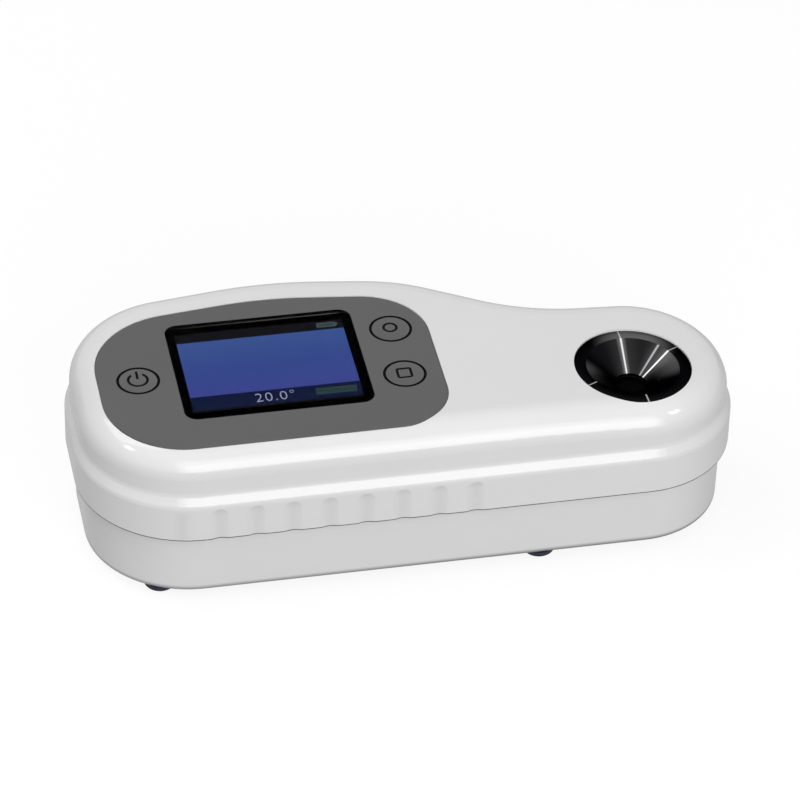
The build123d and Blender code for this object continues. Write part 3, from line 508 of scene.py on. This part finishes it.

# Black mask: a coat of black print on the back of the window, open over the lit area. A painted
# highlight lies along its far side, a thin pale line that also glows a little, more to the right.
mask_constants = {"Roughness": 0.4, "Specular_IOR_Level": 0.0, "Emission_Strength": 1.0}
mask_print = Finish("black mask print", **mask_constants)
highlight_left, highlight_right, highlight_low, highlight_high = -56.0, -13.0, 18.15, 18.5
x, y, z = mask_print.place.axes()
# A thin pale line along the far side is a painted highlight.
painted_highlight = y.within(highlight_low, highlight_high, 0.1) * x.within(highlight_left, highlight_right, 3.0)
painted_highlight = painted_highlight * (0.3 + mask_print.place.noise(110.0) * 0.6)
mask_print.drive("Base Color", painted_highlight.mix((0.0022, 0.0025, 0.0045), (0.45, 0.44, 0.43)))
# The painted highlight also glows a little, more towards the right.
highlight_glow = painted_highlight * (0.35 + (x - highlight_left) * 0.02)
mask_print.drive("Emission Color", highlight_glow.mix((0.0, 0.0, 0.0), (0.13, 0.13, 0.13)))
dress(mask_print, "display_mask")

# Window: a sheet of clear acrylic with rounded corners and a fine bevel, glued in flush with the
# overlay. Its hard coat reflects little, a few hair scratches catch the light, and its edge is
# blackened all round.
window_middle, window_size = (-34.8, -1.7), (50.0, 40.7)
window_low, window_thickness = 46.15, 1.0
corner_radius, blackened = 3.5, 0.5
bpy.ops.object.select_all(action="DESELECT")
window_place = (window_middle[0] * mm, window_middle[1] * mm, window_low * mm)
bpy.ops.mesh.primitive_plane_add(size=1, location=window_place)
window = bpy.context.object
window.scale = (window_size[0] * mm, window_size[1] * mm, 1)
bpy.ops.object.transform_apply(location=True, scale=True)
edit("VERT", lambda middle: True)
bpy.ops.mesh.bevel(offset=corner_radius * mm, segments=14, affect="VERTICES")
bpy.ops.mesh.select_all(action="SELECT")
bpy.ops.mesh.extrude_region_move(TRANSFORM_OT_translate={"value": (0, 0, window_thickness * mm)})
edit("EDGE", lambda middle: middle.z > window_low + window_thickness - 0.05)
bpy.ops.mesh.bevel(offset=0.12 * mm, segments=2)
bpy.ops.mesh.select_all(action="SELECT")
bpy.ops.mesh.normals_make_consistent(inside=False)
bpy.ops.object.mode_set(mode="OBJECT")
bpy.ops.object.shade_smooth_by_angle(angle=math.radians(12))


def outside(x, y, half_x, half_y):
    """How far a place is outside a rectangle, so that equal distances have rounded corners."""
    return length((abs(x) - half_x).larger(0.0), (abs(y) - half_y).larger(0.0))


acrylic = Finish("clear acrylic window", IOR=1.04, Transmission_Weight=1.0)
hair = acrylic.place.noise(260.0, 5.0)
acrylic.drive("Roughness", 0.02 + hair.step(0.6, 0.75) * 0.04)
x, y, z = acrylic.place.axes((window_middle[0] * mm, window_middle[1] * mm, 0))
straight_sides = [size / 2 - corner_radius for size in window_size]
clear_radius = corner_radius - blackened
border = outside(x, y, *straight_sides).step(clear_radius - 0.05, clear_radius + 0.05)
clear = hair.mix((0.97, 0.97, 0.98), (0.99, 0.99, 0.99))
acrylic.drive("Base Color", border.mix(clear, (0.01, 0.01, 0.01)))
settle(window, "bevelled_window", "case", "clear_window", acrylic, "display_window")

# Keys: three dished caps in the grey of the overlay, each with its sign printed in black. Left of
# the display is the power sign. Right of it are a circle for zero and a rounded square for a
# reading. The rim and sides of each cap carry painted shade in the black of the ink, for the gap
# round it.
key_centres = {"power": (-69.7, -3.4), "zero": (-0.3, 7.9), "read": (-0.3, -11.9)}
cap_side, shaded_rim_radius = 46.2, 5.01
grey_dark, grey_pale = (0.132, 0.132, 0.134), (0.164, 0.164, 0.166)
ink = (0.0015, 0.0015, 0.0018)


def ring(distance, radius, stroke):
    """1 on a printed line round a radius."""
    return 1 - abs(distance - radius).step(stroke / 2 - 0.03, stroke / 2 + 0.03)


def power_sign(across, along):
    """A ring with a gap at its top and an upright bar in the gap."""
    lifted, radius, stroke, half_gap = 0.62, 2.54, 0.72, 1.4
    half_bar, bar_low, bar_high = 0.335, 1.05, 4.15
    raised = along - lifted
    beside_gap = abs(across).step(half_gap - 0.05, half_gap + 0.05)
    below_gap = 1 - raised.step(0, 0.1)
    open_ring = ring(length(across, raised), radius, stroke) * beside_gap.larger(below_gap)
    beside_bar = abs(across).step(half_bar - 0.035, half_bar + 0.035)
    return open_ring.larger((1 - beside_bar) * along.within(bar_low, bar_high))


def zero_sign(across, along):
    """A plain ring."""
    lifted, radius, stroke = 0.85, 1.72, 0.7
    return ring(length(across, along - lifted), radius, stroke)


def read_sign(across, along):
    """A square with rounded corners."""
    lifted, half_width, half_height, corner, stroke = 0.6, 1.3, 1.32, 0.5, 0.68
    return ring(outside(across, along - lifted, half_width, half_height), corner, stroke)


def key_cap(name, centre, sign):
    """A cap of grey plastic with its sign, drawn by a function of the place on the cap, and painted
    shade on its rim.
    """
    cap = Finish(name, Specular_IOR_Level=0.03)
    across, along, up = cap.place.axes((centre[0] * mm, centre[1] * mm, 0))
    printed = sign(across, along) * up.step(cap_side - 0.05, cap_side + 0.05)
    # The rim and sides of the cap are painted dark, as the shade in the gap round it.
    printed = printed.larger(length(across, along).step(shaded_rim_radius - 0.03, shaded_rim_radius + 0.03))
    shade = cap.place.noise(55.0, 3.0).mix(grey_dark, grey_pale)
    cap.drive("Base Color", printed.mix(shade, ink))
    cap.drive("Roughness", 0.5 - printed * 0.12)
    cap.bump(cap.place.noise(4200.0), 0.012 * mm)
    return cap


dress(key_cap("power key cap", key_centres["power"], power_sign), "power_key")
dress(key_cap("zero key cap", key_centres["zero"], zero_sign), "zero_key")
dress(key_cap("read key cap", key_centres["read"], read_sign), "read_key")

# Overlay: a plate of grey plastic with a fine matt print, let into the cover round the window and
# the keys. A thin black line is printed round each key, and the rest is bare.
overlay = Finish("matt grey overlay", Specular_IOR_Level=0.03)
key_ring_radius, key_ring_stroke = 5.48, 0.56
grain = overlay.place.noise(4200.0)
shade = (overlay.place.noise(18.0, 3.0) * 0.7 + grain * 0.3).mix(grey_dark, grey_pale)
x, y, z = overlay.place.axes()
key_rings = sum(
    ring(length(x - centre[0], y - centre[1]), key_ring_radius, key_ring_stroke)
    for centre in key_centres.values()
)
overlay.drive("Base Color", key_rings.mix(shade, ink))
overlay.drive("Roughness", 0.48 + overlay.place.noise(300.0) * 0.08)
overlay.bump(grain, 0.012 * mm)
dress(overlay, "overlay")

# Optics: a block of black anodised aluminium that carries lamp, lenses and line sensor under a
# glass prism. A grey ribbon takes the sensor's signal to the board, and a brass probe reads the
# temperature of the steel.
anodised = Finish("black anodised aluminium", Metallic=0.6)
passes = anodised.place.axes()[0].rings(9.0)
anodised.drive("Base Color", passes.mix((0.010, 0.010, 0.011), (0.030, 0.030, 0.033)))
anodised.drive("Roughness", 0.3 + passes * 0.25)
anodised.bump(passes, 0.02 * mm)
dress(anodised, "optics_block")

optic_glass = Finish("polished optic glass", IOR=1.6, Transmission_Weight=1.0)
tint = optic_glass.place.noise(80.0)
optic_glass.drive("Base Color", tint.mix((0.93, 0.96, 0.97), (0.97, 0.99, 1.0)))
optic_glass.drive("Roughness", 0.01 + optic_glass.place.noise(500.0) * 0.02)
dress(optic_glass, "lamp_lens", "sensor_lens")

# The prism glass is painted near black, as the shade at the bottom of the hole.
shaded_prism_glass = Finish("prism glass painted dark as shade", IOR=1.03, Transmission_Weight=0.2)
tint = shaded_prism_glass.place.noise(80.0)
shaded_prism_glass.drive("Base Color", tint.mix((0.0006, 0.0008, 0.0010), (0.002, 0.0024, 0.003)))
shaded_prism_glass.drive("Roughness", 0.02 + shaded_prism_glass.place.noise(500.0) * 0.02)
dress(shaded_prism_glass, "prism")

amber = Finish("clear amber resin", IOR=1.5, Transmission_Weight=0.7, Roughness=0.08)
amber.drive("Base Color", amber.place.noise(300.0).mix((0.85, 0.50, 0.10), (0.95, 0.66, 0.20)))
dress(amber, "lamp")

ribbon = Finish("grey flat ribbon", Roughness=0.42)
red_edge = -14.45
across_wires = ribbon.place.axes()[1]
wires = across_wires.wave(1.0)
marked = across_wires.step(red_edge - 0.05, red_edge + 0.05)
grey = wires.mix((0.42, 0.42, 0.43), (0.58, 0.58, 0.59))
ribbon.drive("Base Color", marked.mix(grey, (0.42, 0.03, 0.03)))
ribbon.bump(wires, 0.1 * mm)
dress(ribbon, "sensor_ribbon")

brass = Finish("turned brass", Metallic=1.0)
turned = brass.place.axes()[2].rings(7.0)
brass.drive("Base Color", turned.mix((0.58, 0.38, 0.13), (0.74, 0.53, 0.22)))
brass.drive("Roughness", 0.22 + turned * 0.15)
dress(brass, "temperature_probe")

# Rubber seals: a flat ring under the steel and a gasket over the prism, both black with a little
# grey bloom, and a thin strip of greyer rubber that is pressed in round the foot of the belt.
seal_rubber = Finish("black seal rubber")
bloom = seal_rubber.place.noise(45.0, 4.0)
bloomed = bloom.step(0.45, 0.75)
seal_rubber.drive("Base Color", bloomed.mix((0.008, 0.008, 0.009), (0.045, 0.045, 0.047)))
seal_rubber.drive("Roughness", 0.5 + bloom * 0.3)
dress(seal_rubber, "well_seal", "prism_gasket")

strip_rubber = Finish("grey strip rubber", Roughness=0.6)
bloom = strip_rubber.place.noise(45.0, 4.0)
strip_rubber.drive("Base Color", bloom.mix((0.055, 0.055, 0.057), (0.13, 0.13, 0.132)))
dress(strip_rubber, "edge_strip")

# Sample well: a dish turned in stainless steel and polished, with a flat rim and a cone down to the
# prism. The turning leaves fine rings. The bright lines that run out from the hole, a faint haze
# and scattered specks are painted highlights, and the near black of the steel is a painted dark
# reflection.
well_centre = (59.9798 * mm, -17.4 * mm, 46.1135 * mm)
well_tilt = math.radians(2.573)
hole_radius, cone_radius, rim_radius, neck_radius, foot_radius = 4.1, 12.4, 15.5, 12.8, 7.7
hole_top, hole_bottom, rim_bottom, foot_bottom = -5.5, -6.4, -2.2, -8.5
turned_outline = [
    (hole_radius, hole_bottom),
    (hole_radius, hole_top),
    (cone_radius, 0),
    (rim_radius, 0),
    (rim_radius, rim_bottom),
    (neck_radius, rim_bottom),
    (neck_radius, foot_bottom),
    (foot_radius, foot_bottom),
    (foot_radius, hole_bottom),
]
bpy.ops.object.select_all(action="DESELECT")
bpy.ops.mesh.primitive_circle_add(
    vertices=180, radius=hole_radius * mm, location=(0, 0, hole_bottom * mm)
)
well = bpy.context.object
bpy.ops.object.transform_apply(location=True)
edit("EDGE", lambda middle: True)
for (old_radius, old_height), (new_radius, new_height) in zip(turned_outline, turned_outline[1:]):
    rise = (0, 0, (new_height - old_height) * mm)
    grown = new_radius / old_radius
    bpy.ops.mesh.extrude_edges_move(TRANSFORM_OT_translate={"value": rise})
    bpy.ops.transform.resize(value=(grown, grown, 1), center_override=(0, 0, 0))
edit("EDGE", lambda middle: abs(middle.z - hole_bottom) < 0.01)
bpy.ops.mesh.bridge_edge_loops()
bpy.ops.mesh.select_all(action="SELECT")
bpy.ops.mesh.normals_make_consistent(inside=False)
bpy.ops.object.mode_set(mode="OBJECT")
edges = well.modifiers.new("fine edges", "BEVEL")
edges.width = 0.12 * mm
edges.segments = 2
edges.angle_limit = math.radians(25)
bpy.ops.object.modifier_apply(modifier="fine edges")
bpy.ops.object.shade_smooth_by_angle(angle=math.radians(25))
well.rotation_euler = (0, well_tilt, 0)
well.location = well_centre

steel = Finish("polished turned steel", Metallic=1.0, Specular_Tint=(0.15, 0.15, 0.15, 1))
x, y, z = steel.place.axes(well_centre, (0, well_tilt, 0))
radius = length(x, y)
turning = radius.rings(5.0)
on_rim = radius.step(cone_radius - 0.1, cone_radius + 0.1)


def streak(azimuth, narrow, spread):
    """A soft painted highlight outwards, from its half width at the middle and what it gains per
    mm.
    """
    towards = (math.cos(math.radians(azimuth)), math.sin(math.radians(azimuth)))
    out = x * towards[0] + y * towards[1]
    aside = abs(y * towards[0] - x * towards[1]) / (out.larger(0.0) * spread + narrow)
    return (1 - aside.step(0.2, 1.0)) * out.step(0.5, 2.0)


def gathered(streaks):
    """The light of several streaks, each given by azimuth, half width, spread and strength."""
    return sum(streak(*shape) * strength for *shape, strength in streaks)


cone_streaks = [
    (92, 0.22, 0.016, 0.9),
    (92, 0.9, 0.06, 0.13),
    (92, 3.2, 0.25, 0.017),
    (27, 0.2, 0.02, 0.5),
    (43, 0.2, 0.024, 0.2),
    (35, 0.6, 0.4, 0.008),
    (60, 3.0, 0.8, 0.008),
]
painted_haze = [
    (4, 1.0, 0.6, 0.07),
    (188, 1.6, 0.5, 0.12),
]
rim_streaks = [
    (92, 0.26, 0.0, 0.5),
    (27, 0.2, 0.0, 0.6),
    (-87.5, 0.3, 0.0, 0.5),
    (-153, 0.2, 0.0, 0.6),
    (75, 8.0, 0.5, 0.14),
]
# Painted highlights: streaks on cone and rim, a haze and specks, over a near black painted
# reflection.
glint_specks = 1 - steel.place.cells(190.0).step(0.03, 0.055)
cone_light = gathered(cone_streaks) + gathered(painted_haze) * radius.step(5.0, 12.0) + glint_specks * 0.2
cone_light = (1 - on_rim) * cone_light * (0.7 + turning * 0.6)
light = on_rim * gathered(rim_streaks) + cone_light
light = light.math("MINIMUM", light, 1.0)
steel.drive("Base Color", light.mix((0.0075, 0.0070, 0.0080), (0.86, 0.86, 0.87)))
steel.drive("Roughness", 0.24 + turning * 0.08)
steel.bump(turning, 0.004 * mm)
settle(well, "turned_steel_well", "case", "well_steel", steel, "sample_well")

# Upper cover: the second thick moulding, in the same glossy white, with rounded shoulders and a
# belt to grip. It takes the board, the keys, the overlay and the steel well, and the five screws
# pull it down on the lower case.
flute_first, flute_pitch, flute_count = -63.7, 9.66, 9
flutes_low, flutes_high, flutes_reach = 20.0, 30.2, 4.5


def shaded_flute_hollows(x, y, z):
    """Faint painted shade in the hollows of the flutes, which only the front of the belt has."""
    flute_last = flute_first + flute_pitch * (flute_count - 1)
    shaded_hollows = (x - flute_first + flute_pitch / 4).wave(flute_pitch) ** 3
    shaded_hollows = shaded_hollows * x.within(flute_first - flutes_reach, flute_last + flutes_reach, 0.3)
    front = 1 - y.step(-26.0, -22.0)
    return shaded_hollows * front * z.within(flutes_low, flutes_high, 0.8) * 0.08


# The cover gets painted shade in the hollows of the flutes on its front.
dress(polished_white("white plastic of the upper cover", shaded_flute_hollows), "upper_cover")

# Studio: a white floor and background, and five soft boxes. The floor glows for the eye, and half
# as much in reflections, so that the sides of the case keep their outline. It is a little below
# the feet and takes their shadow.
floor_size, floor_gap = 6.0, 0.1 * mm
floor_glow, floor_reflected, ambient = 0.87, 0.5, 0.4


def background_rays(tree, reflected):
    """1 for what is seen directly or through glass, and a share of it for what is reflected."""
    rays = tree.nodes.new("ShaderNodeLightPath").outputs
    direct, mirrored = Socket(rays["Is Camera Ray"]), Socket(rays["Is Glossy Ray"])
    return direct.larger(mirrored * reflected).larger(Socket(rays["Is Transmission Ray"]))


bpy.ops.object.select_all(action="DESELECT")
bpy.ops.mesh.primitive_plane_add(size=floor_size, location=(0, 0, -floor_gap))
floor = bpy.context.object
floor.name = "floor"
floor_white = bpy.data.materials.new("white floor")
floor_white.use_nodes = True
tree = floor_white.node_tree
tree.nodes.clear()
seen = background_rays(tree, floor_reflected)
diffuse = seen.node("ShaderNodeBsdfDiffuse", {}, {"Color": (0.16, 0.16, 0.16, 1)})
glow = seen.node("ShaderNodeEmission", {}, {"Color": (1, 1, 1, 1), "Strength": seen * floor_glow})
both = seen.node("ShaderNodeAddShader", {}, {0: diffuse, 1: glow})
tree.links.new(both.output, tree.nodes.new("ShaderNodeOutputMaterial").inputs["Surface"])
floor.data.materials.append(floor_white)

world = bpy.data.worlds.new("white room")
bpy.context.scene.world = world
world.use_nodes = True
background = world.node_tree.nodes["Background"]
background.inputs["Color"].default_value = (1, 1, 1, 1)
strength = background_rays(world.node_tree, 1.0) * (1 - ambient) + ambient
world.node_tree.links.new(strength.output, background.inputs["Strength"])

lit_middle = Vector((0, 0, 0.025))
soft_boxes = {
    "front_box": {"place": (0.0, -1.1, 0.45), "size": 0.9, "watts": 4.9},
    "low_box": {"place": (0.15, -1.15, 0.15), "size": 0.9, "watts": 4.5},
    "left_box": {"place": (-0.8, -0.16, 0.68), "size": 0.14, "watts": 0.7},
    "right_box": {"place": (0.66, -0.55, 0.62), "size": 0.18, "watts": 0.8},
    "top_box": {"place": (-0.55, 0.25, 1.0), "size": 0.7, "watts": 3.5},
}
for name, box in soft_boxes.items():
    lamp = bpy.data.lights.new(name, "AREA")
    lamp.size = box["size"]
    lamp.energy = box["watts"]
    soft_box = bpy.data.objects.new(name, lamp)
    bpy.context.scene.collection.objects.link(soft_box)
    soft_box.location = box["place"]
    aim = lit_middle - Vector(box["place"])
    soft_box.rotation_euler = aim.to_track_quat("-Z", "Y").to_euler()

# Camera: a long lens at the photograph's place, a little left of the front and well above it.
# It is rolled a little to the side, as there.
camera_place = Vector((-0.1944, -0.9221, 0.7642))
camera_target = Vector((-0.0038, -0.0231, 0.0474))
camera_roll = math.radians(1.47)
camera_data = bpy.data.cameras.new("camera")
camera_data.lens = 201.4
camera_data.sensor_width = 36.0
camera = bpy.data.objects.new("camera", camera_data)
bpy.context.scene.collection.objects.link(camera)
camera.location = camera_place
camera.rotation_mode = "QUATERNION"
look = (camera_target - camera_place).to_track_quat("-Z", "Y")
camera.rotation_quaternion = look @ Quaternion((0, 0, 1), camera_roll)
bpy.context.scene.camera = camera
bpy.context.scene.view_settings.view_transform = "Standard"
